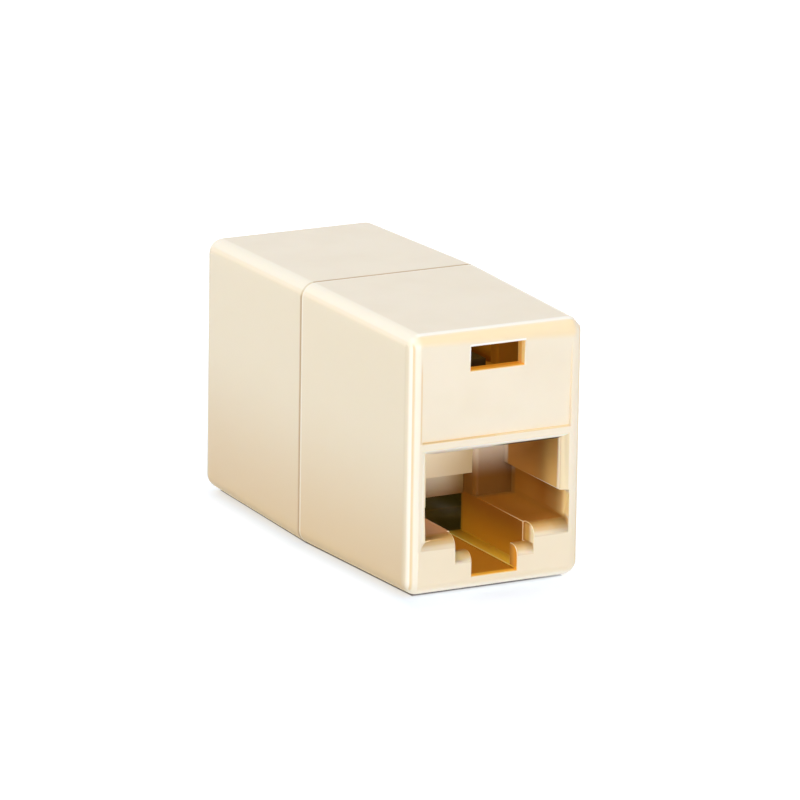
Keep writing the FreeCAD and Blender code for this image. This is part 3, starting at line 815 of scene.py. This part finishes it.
# %% Carrier plastic
CREAM = (0.95, 0.85, 0.62)
CREAM_LIGHT = (0.98, 0.90, 0.68)
CREAM_SCALE = 300
CARRIER_SHADE = (0.64, 0.50, 0.27, 0.9)
CARRIER_TAN_RIGHT = (-1.5, 3.8)
NOSE_HEIGHT = (6.3, 6.8)
NOSE_HIGHLIGHT = (1.0, 0.97, 0.76, 1)
NOSE_CREAM_RIGHT = (-0.5, 3.4)
NOSE_SHADE = (0.55, 0.36, 0.12, 1)
NOSE_BROWN_RIGHT = (1.5, 3.8)
BLOCK_HIGHLIGHT = (0.97, 0.89, 0.70, 0.5)
BLOCK_HEIGHT = (7.2, 9.2)
BLOCK_RIGHT = (1.6, 3.4)
COMB_HEIGHT = (13.5, 14.0)
COMB_SHADE = (0.08, 0.046, 0.006, 1)
COMB_FAR_SHADE = (0.46, 0.175, 0.006, 1)
COMB_BROWN_DEPTH = (10.0, 11.0)


def carrier_colour(place, spot):
    return mottled(place, CREAM_SCALE, CREAM, CREAM_LIGHT)


def tint_carrier(colour, spot):
    colour = colour.tint(CARRIER_SHADE, spot.right.rise(*CARRIER_TAN_RIGHT))
    nose = spot.height.fall(*NOSE_HEIGHT)
    colour = colour.tint(NOSE_HIGHLIGHT, nose * spot.right.fall(*NOSE_CREAM_RIGHT))
    colour = colour.tint(NOSE_SHADE, nose * spot.right.rise(*NOSE_BROWN_RIGHT))
    colour = colour.tint(BLOCK_HIGHLIGHT, spot.height.rise(*BLOCK_HEIGHT) * spot.right.fall(*BLOCK_RIGHT))
    comb = spot.height.rise(*COMB_HEIGHT)
    colour = colour.tint(COMB_SHADE, comb)
    return colour.tint(COMB_FAR_SHADE, comb * spot.depth.rise(*COMB_BROWN_DEPTH))


carrier = layered_plastic(
    "carrier_plastic", carrier_colour, [tint_carrier],
    roughness=0.5, gloss=0.3, scatter_weight=0.1, scatter_depth=0.5 * MM,
)
print(carrier.name, "has", len(carrier.node_tree.nodes), "nodes")

# %% [markdown]
# The contacts are spring strip with a thin gold plating, so the colour belongs to a metal: it tints the
# reflections. Plating is a little uneven, in colour and in gloss. The joining board is glass-fibre laminate
# under green solder resist, which hardly shows, and gets a plain mottled green.

# %% Metal and laminate
GILT = {
    "dark": (0.72, 0.46, 0.14),
    "light": (0.92, 0.68, 0.28),
    "scale": 900,
    "roughness": 0.24,
    "uneven": 0.12,
    "uneven_scale": 1500,
}
RESIST = {
    "dark": (0.02, 0.12, 0.05),
    "light": (0.04, 0.22, 0.09),
    "scale": 1200,
    "roughness": 0.35,
    "uneven": 0.1,
    "uneven_scale": 900,
}


def uneven_finish(name, constants, dark, light, scale, roughness, uneven, uneven_scale):
    """A hard surface that is a little uneven in colour and in gloss."""
    material, place = start_material(name)
    colour = mottled(place, scale, dark, light)
    rough = roughness + cloud(place, uneven_scale) * uneven
    close_material(place, {"Base Color": colour, "Roughness": rough}, constants)
    return material


gilt = uneven_finish("gilt_contact", {"Metallic": 1.0}, **GILT)
laminate = uneven_finish("board_laminate", {"IOR": 1.5}, **RESIST)
print("finishes:", [finish.name for finish in (gilt, laminate)])

# %% [markdown]
# No mould leaves a perfectly sharp edge. The CAD solids have the large roundings; the small ones, about a
# twentieth of a millimetre, catch the thin bright lines along the panel, the port and the window. A Bevel
# modifier adds them. It reads a weight from each edge: most sharp edges that show get the fine rounding, the
# upright edges of the throat get the widest, and the panel's sides and the throat's ceiling stay sharp.

# %% Which edges are softened
FINE_EDGE = 0.06
THROAT_EDGE = 0.40
SHARP_ANGLE = math.radians(28)
SHOWN_DEPTH = 9.3
TALL_EDGE = 2.0
PANEL_FOOT = 12.6
PANEL_SIDE_ACROSS = (6.68, 6.72)
PANEL_SIDE_DEPTH = 0.3
CEILING_DEPTH = (0.1, 9.0)
CEILING_HEIGHT = (11.6, 12.0)
THROAT_EDGE_DEPTH = (0.1, 0.5)
THROAT_EDGE_HEIGHT = (5.0, 12.0)


def spot_of(point):
    """How far a mesh point is from the middle, behind its end and up from the floor, in millimetres."""
    return abs(point.x) / MM, HALF_LENGTH - abs(point.y) / MM, point.z / MM


def lies_in(number, limits):
    return limits[0] < number < limits[1]


def softness(edge):
    """How much of the widest rounding a sharp outward edge that shows gets, from 0 to 1."""
    if len(edge.link_faces) != 2 or edge.calc_face_angle_signed() < SHARP_ANGLE:
        return 0.0
    low, high = (vertex.co for vertex in edge.verts)
    across, depth, height = spot_of((low + high) / 2)
    panel_side = lies_in(across, PANEL_SIDE_ACROSS) and depth < PANEL_SIDE_DEPTH and height > PANEL_FOOT
    ceiling = lies_in(depth, CEILING_DEPTH) and lies_in(height, CEILING_HEIGHT)
    if depth > SHOWN_DEPTH or panel_side or ceiling:
        return 0.0
    tall = abs(low.z - high.z) > TALL_EDGE * MM
    if tall and lies_in(depth, THROAT_EDGE_DEPTH) and lies_in(height, THROAT_EDGE_HEIGHT):
        return 1.0
    return FINE_EDGE / THROAT_EDGE


print("fine edges", FINE_EDGE, "mm, throat edges", THROAT_EDGE, "mm")

# %% [markdown]
# A CAD node's mesh is loose triangles and is left alone, so each moulded piece is a merged copy of its node,
# which it then stands for. The Bevel modifier works on the copy. A Weighted Normal modifier keeps the flat
# faces flat in the light, and no point may leave the CAD box.

# %% Softened copies
MERGE_DISTANCE = 0.0001 * MM
FLAT_ANGLE = math.radians(0.2)
CREASE_ANGLE = math.radians(50)
BEVEL_STEPS = 4


def merged_copy(node, name):
    """A copy of a CAD node with its triangles joined, and each edge that can be softened marked."""
    solid = bmesh.new()
    solid.from_mesh(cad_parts[node].data)
    bmesh.ops.remove_doubles(solid, verts=solid.verts, dist=MERGE_DISTANCE)
    bmesh.ops.dissolve_limit(solid, angle_limit=FLAT_ANGLE, verts=solid.verts, edges=solid.edges)
    weights = solid.edges.layers.float.new("bevel_weight_edge")
    for edge in solid.edges:
        edge[weights] = softness(edge)
    mesh = bpy.data.meshes.new(name)
    solid.to_mesh(mesh)
    solid.free()
    return mesh


def applied(piece):
    """The piece's mesh with its modifiers worked in, and the modifiers gone."""
    shown = bpy.data.meshes.new_from_object(piece.evaluated_get(bpy.context.evaluated_depsgraph_get()))
    piece.modifiers.clear()
    piece.data = shown
    return shown


def softened(node, name, finishes):
    piece = bpy.data.objects.new(name, merged_copy(node, name))
    scene.collection.objects.link(piece)
    for finish in finishes:
        piece.data.materials.append(finish)
    bevel = piece.modifiers.new("soft_edges", "BEVEL")
    bevel.width = THROAT_EDGE * MM
    bevel.segments = BEVEL_STEPS
    bevel.limit_method = "WEIGHT"
    bevel.use_clamp_overlap = False
    bevel.material = len(finishes) - 1
    shown = applied(piece)
    for vertex in shown.vertices:
        for axis in range(3):
            vertex.co[axis] = min(max(vertex.co[axis], cad_low[axis]), cad_high[axis])
    shown.shade_smooth()
    shown.set_sharp_from_angle(angle=CREASE_ANGLE)
    even = piece.modifiers.new("flat_faces", "WEIGHTED_NORMAL")
    even.keep_sharp = True
    applied(piece)
    return piece


print("softened edges have", BEVEL_STEPS, "steps")

# %% [markdown]
# A half shell is one moulding in three ivories. Faces on the outside have the skin, and so has the sloped
# lead-in. Faces in the port, the window and the chambers have the inside's colour, softened edges there have
# the edge's, and the wide rounding of the throat counts as inside.

# %% Faces of a half shell
SKIN, INSIDE, EDGE = range(3)
WINDOW_HALF_WIDTH = 2.5
WINDOW_SILL = 18.0
SKIN_DEPTH = 0.002
PANEL_SKIN_DEPTH = 0.27
LIP_DEPTH = 1.5
MOUTH_REACH = 6.72
CHAMBER_REACH = 7.1
HOLLOW_HEIGHT = (1.25, 20.6)
ROUNDED_DEPTH = 1.0
ROUNDED_ACROSS = 5.8
ROUNDED_HEIGHT = (7.4, 12.0)
SLOPE_DEPTH = 0.5
SLOPED = 0.3


def is_hollow(centre):
    """Whether a face lies behind the skin: in the port, the window or the chambers."""
    across, depth, height = spot_of(centre)
    in_window = height > WINDOW_SILL and across < WINDOW_HALF_WIDTH
    skin = SKIN_DEPTH if height < PANEL_FOOT or in_window else PANEL_SKIN_DEPTH
    reach = CHAMBER_REACH if depth > LIP_DEPTH else MOUTH_REACH
    return across < reach and lies_in(height, HOLLOW_HEIGHT) and depth > skin


def is_throat_edge(centre):
    """Whether a face is on the rounded edge where the mouth narrows to the port."""
    across, depth, height = spot_of(centre)
    return depth < ROUNDED_DEPTH and across > ROUNDED_ACROSS and lies_in(height, ROUNDED_HEIGHT)


def is_lead_in(face):
    depth = spot_of(face.center)[1]
    return depth < SLOPE_DEPTH and abs(face.normal.y) > SLOPED and abs(face.normal.x) > SLOPED


def share_ivories(shell):
    for face in shell.data.polygons:
        if not is_hollow(face.center) or is_lead_in(face):
            face.material_index = SKIN
        elif face.material_index != EDGE or is_throat_edge(face.center):
            face.material_index = INSIDE


print("hollow from", HOLLOW_HEIGHT[0], "to", HOLLOW_HEIGHT[1], "mm up")

# %% [markdown]
# Now the two shells and the two carriers are made in turn. Nothing moves, so each rides on the one body. It
# stands for its CAD node, which is then hidden.

# %% Shells and carriers
def place_on_body(piece, slot, *nodes):
    """Let a piece ride on the one body and stand for its CAD nodes, which it hides; the slot is not used."""
    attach(piece, "root")
    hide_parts(*nodes)


for end in ("front", "rear"):
    shell = softened(f"{end}_shell", f"{end}_half_shell", [ivory_skin, ivory_inside, ivory_edge_highlight])
    share_ivories(shell)
    inner = softened(f"{end}_insert", f"{end}_carrier", [carrier])
    place_on_body(shell, "ivory_shell", f"{end}_shell")
    place_on_body(inner, "carrier_plastic", f"{end}_insert")
    print(f"{end} shell and carrier:", [len(piece.data.polygons) for piece in (shell, inner)], "faces")

# %% [markdown]
# Each port has a row of eight sprung contacts: a flat gilt strip that runs in along the carrier, turns back
# on itself near the mouth and slopes down into the port, where a plug presses it up. Eight separate meshes
# would do, but a row that repeats is what Geometry Nodes are for. The tree rounds a three-point path, sweeps
# a strip with rolled edges along it and sets eight copies side by side, and its sizes are named inputs.

# %% Tree for a contact row
CONTACT_SIZES = {
    "Count": 8,
    "Pitch": 1.016 * MM,
    "Width": 0.45 * MM,
    "Thickness": 0.30 * MM,
    "Bend Radius": 0.62 * MM,
    "Rolled Edge": 0.07 * MM,
}
BEND_POINTS = 10
ROLL_POINTS = 3


def contact_tree():
    tree = bpy.data.node_groups.new("contact_row", "GeometryNodeTree")
    tree.interface.new_socket("Path", in_out="INPUT", socket_type="NodeSocketGeometry")
    for name, size in CONTACT_SIZES.items():
        kind = "NodeSocketInt" if isinstance(size, int) else "NodeSocketFloat"
        tree.interface.new_socket(name, in_out="INPUT", socket_type=kind)
    tree.interface.new_socket("Row", in_out="OUTPUT", socket_type="NodeSocketGeometry")
    entry = tree.nodes.new("NodeGroupInput")
    sizes = {socket.name: Value(tree, socket) for socket in entry.outputs if socket.name}
    path = sizes["Path"]
    line = path.add("GeometryNodeMeshToCurve", {}, {"Mesh": path})
    bent = path.add("GeometryNodeFilletCurve", {"mode": "POLY"}, {
        "Curve": line, "Radius": sizes["Bend Radius"], "Count": BEND_POINTS,
    })
    section = path.add("GeometryNodeCurvePrimitiveQuadrilateral", {}, {
        "Width": sizes["Width"], "Height": sizes["Thickness"],
    })
    rolled = path.add("GeometryNodeFilletCurve", {"mode": "POLY"}, {
        "Curve": section, "Radius": sizes["Rolled Edge"], "Count": ROLL_POINTS,
    })
    strip = path.add("GeometryNodeCurveToMesh", {}, {
        "Curve": bent, "Profile Curve": rolled, "Fill Caps": True,
    })
    step = path.add("ShaderNodeCombineXYZ", {}, {"X": sizes["Pitch"]})
    places = path.add("GeometryNodeMeshLine", {}, {"Count": sizes["Count"], "Offset": step})
    copies = path.add("GeometryNodeInstanceOnPoints", {}, {"Points": places, "Instance": strip})
    row = path.add("GeometryNodeRealizeInstances", {}, {"Geometry": copies})
    row = path.add("GeometryNodeSetMaterial", {}, {"Geometry": row, "Material": gilt})
    path.add("NodeGroupOutput", {}, {"Row": row})
    return tree


row_tree = contact_tree()
print(row_tree.name, "has", len(row_tree.nodes), "nodes")

# %% [markdown]
# The path lies in the upright plane of the first contact: from near the seam to the bend at the mouth, then
# down to the free end. At the rear end it runs the other way. The swept strips come out as loose caps and
# walls, so the row is merged and its faces are turned outwards before it stands for the eight CAD strips.

# %% Contact rows
CONTACT_PATH = [(-0.5, 13.28), (-16.73, 13.28), (-9.15, 9.45)]


def contact_row(name, side):
    """One row; side is 1 at the front end and -1 at the rear."""
    first = -CONTACT_SIZES["Pitch"] * (CONTACT_SIZES["Count"] - 1) / 2
    mesh = bpy.data.meshes.new(name)
    points = [(first, side * along * MM, height * MM) for along, height in CONTACT_PATH]
    mesh.from_pydata(points, [(0, 1), (1, 2)], [])
    row = bpy.data.objects.new(name, mesh)
    scene.collection.objects.link(row)
    nodes = row.modifiers.new("row", "NODES")
    nodes.node_group = row_tree
    for socket in row_tree.interface.items_tree:
        if socket.name in CONTACT_SIZES:
            nodes[socket.identifier] = CONTACT_SIZES[socket.name]
    shown = applied(row)
    solid = bmesh.new()
    solid.from_mesh(shown)
    bmesh.ops.remove_doubles(solid, verts=solid.verts, dist=MERGE_DISTANCE)
    bmesh.ops.recalc_face_normals(solid, faces=solid.faces)
    solid.to_mesh(shown)
    solid.free()
    shown.shade_smooth()
    shown.set_sharp_from_angle(angle=CREASE_ANGLE)
    return row


for end, side in (("front", 1), ("rear", -1)):
    row = contact_row(f"{end}_contact_row", side)
    strips = [f"{end}_contact_{number}" for number in range(1, CONTACT_SIZES["Count"] + 1)]
    place_on_body(row, "gilt_contact", *strips)
    lowest = min(vertex.co.z for vertex in row.data.vertices) / MM
    print(row.name, len(row.data.polygons), "faces, the lowest", round(lowest, 2), "mm up")

# %% [markdown]
# The joining board stands at the seam, between the two carriers, and hardly shows. A softened copy could be
# made of it too, but its CAD solid has the right shape, so it stays and only gets its finish.

# %% Joining board
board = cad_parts["joining_board"]
board.data.materials.clear()
board.data.materials.append(laminate)
print(board.name, "is finished in", laminate.name)

# %% [markdown]
# The floor and the background are plain white in the photograph, with a soft shadow close under the piece.
# The floor's own grey draws the darkest part of it, where hardly any light gets under the rounded edges: dark
# within the footprint, then rising to white over some hundred millimetres. Rays from the camera, and rays
# that shiny or clear surfaces send on, see that floor. The light that it throws on the piece comes from a
# plain pale one.

# %% Floor
FLOOR_REACH = 2.0
FOOTPRINT_SIDE = 7.33
FOOTPRINT_TAPER = 0.043
FOOTPRINT_END = 16.36
SIDE_EDGE = (0.1, 0.28)
END_EDGE = (0.3, 0.75)
RIGHT_EDGE = (2.0, 7.0)
RIGHT_EDGE_LIGHT = 0.5
END_FADE = 0.4
END_START = 0.5
LIT_RIGHT = (5.0, 9.0)
LIT_REAR = (15.0, 20.0)
LIT_SHIFT = 2.5
FADE_LENGTH = 110
GREYS = [(0.0, 0.06), (0.067, 0.10), (0.095, 0.12), (0.124, 0.19), (0.151, 0.27), (0.25, 0.36), (1.0, 1.0)]
UNDER_PAINT = (0.16, 0.16, 0.18)
OPEN_PAINT = (0.77, 0.83, 0.92)
BLACK = (0, 0, 0, 1)
PLAIN_PALE = (0.7, 0.7, 0.7, 1)


def seen_rays(tree):
    """1 for rays from the camera, and for those that a shiny or clear surface sends on."""
    rays = tree.nodes.new("ShaderNodeLightPath")
    seen = Value(tree, rays.outputs["Is Camera Ray"])
    for name in ("Is Glossy Ray", "Is Transmission Ray"):
        seen = seen.larger(Value(tree, rays.outputs[name]))
    return seen


def floor_white():
    material, place = start_material("floor_white")
    x = axis_of(place, "X") / MM
    y = axis_of(place, "Y") / MM
    from_side = abs(x) + abs(y) * FOOTPRINT_TAPER - FOOTPRINT_SIDE
    from_end = abs(y) - FOOTPRINT_END
    open_floor = from_side.rise(*SIDE_EDGE).larger(from_end.rise(*END_EDGE))
    open_floor = open_floor.larger(x.rise(*RIGHT_EDGE) * RIGHT_EDGE_LIGHT)
    lit = x.rise(*LIT_RIGHT) + y.rise(*LIT_REAR)
    away = from_side.larger(from_end * END_FADE + END_START) + lit * LIT_SHIFT
    fade = place.sum("SQRT", away.larger(0.0) / FADE_LENGTH)
    shine = fade.ramp([(position, (grey, grey, grey)) for position, grey in GREYS])
    shine = shine.tint(BLACK, 1 - open_floor)
    paint = open_floor.ramp([(0, UNDER_PAINT), (1, OPEN_PAINT)])
    matt = place.add("ShaderNodeBsdfDiffuse", {}, {"Color": paint})
    glow = place.add("ShaderNodeEmission", {}, {"Color": shine, "Strength": 1.0})
    white = place.add("ShaderNodeAddShader", {}, {"Shader": matt, "Shader_001": glow})
    dull = place.add("ShaderNodeBsdfDiffuse", {}, {"Color": PLAIN_PALE})
    seen = seen_rays(material.node_tree)
    both = place.add("ShaderNodeMixShader", {}, {"Fac": seen, "Shader": dull, "Shader_001": white})
    place.add("ShaderNodeOutputMaterial", {}, {"Surface": both})
    return material


floor_mesh = bpy.data.meshes.new("floor")
corners = [(x * FLOOR_REACH, y * FLOOR_REACH, 0) for x, y in ((-1, -1), (1, -1), (1, 1), (-1, 1))]
floor_mesh.from_pydata(corners, [], [(0, 1, 2, 3)])
floor_mesh.materials.append(floor_white())
floor = bpy.data.objects.new("floor", floor_mesh)
scene.collection.objects.link(floor)
floor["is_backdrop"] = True
print("floor reaches", FLOOR_REACH, "m each way")

# %% [markdown]
# The studio is a soft white sky and four round softboxes, each with a level at which 1 would show a facing
# colour as it is written. The front one lights the end face and looks into the port, the key adds a little
# from above the camera, and the left one lights the long side and the top. The left one casts no shadow,
# because the real walls let part of its light through into the port. The fill, low behind on the right, is
# for the views from there.

# %% Light
SKY_LEVEL = 0.46
BACKGROUND_LEVEL = 1.0
WHITE = (1, 1, 1, 1)
LAMP_DISTANCE = 0.7


def studio_world():
    world = bpy.data.worlds.new("studio")
    world.use_nodes = True
    world.node_tree.nodes.clear()
    seen = seen_rays(world.node_tree)
    soft = seen.add("ShaderNodeBackground", {}, {"Color": WHITE, "Strength": SKY_LEVEL})
    white = seen.add("ShaderNodeBackground", {}, {"Color": WHITE, "Strength": BACKGROUND_LEVEL})
    both = seen.add("ShaderNodeMixShader", {}, {"Fac": seen, "Shader": soft, "Shader_001": white})
    seen.add("ShaderNodeOutputWorld", {}, {"Surface": both})
    return world


def softbox(name, azimuth, elevation, width, level, shadow=True):
    """A round softbox that gives a facing surface this level of light."""
    away = direction(azimuth, elevation)
    lamp = bpy.data.lights.new(name, "AREA")
    lamp.shape = "DISK"
    lamp.use_shadow = shadow
    lamp.size = width
    lamp.energy = level * math.pi ** 2 * LAMP_DISTANCE ** 2
    holder = bpy.data.objects.new(name, lamp)
    holder.location = CAMERA_AIM + away * LAMP_DISTANCE
    holder.rotation_euler = (-away).to_track_quat("-Z", "Y").to_euler()
    scene.collection.objects.link(holder)
    print(name, "softbox", round(lamp.energy, 2), "W")


scene.world = studio_world()
softbox("key", azimuth=-30, elevation=32, width=0.35, level=0.10)
softbox("front", azimuth=-2, elevation=3, width=0.25, level=0.53)
softbox("left", azimuth=-90, elevation=50, width=0.40, level=0.51, shadow=False)
softbox("fill", azimuth=130, elevation=2.5, width=0.06, level=0.36)

# %% [markdown]
# Looks may not change the size.
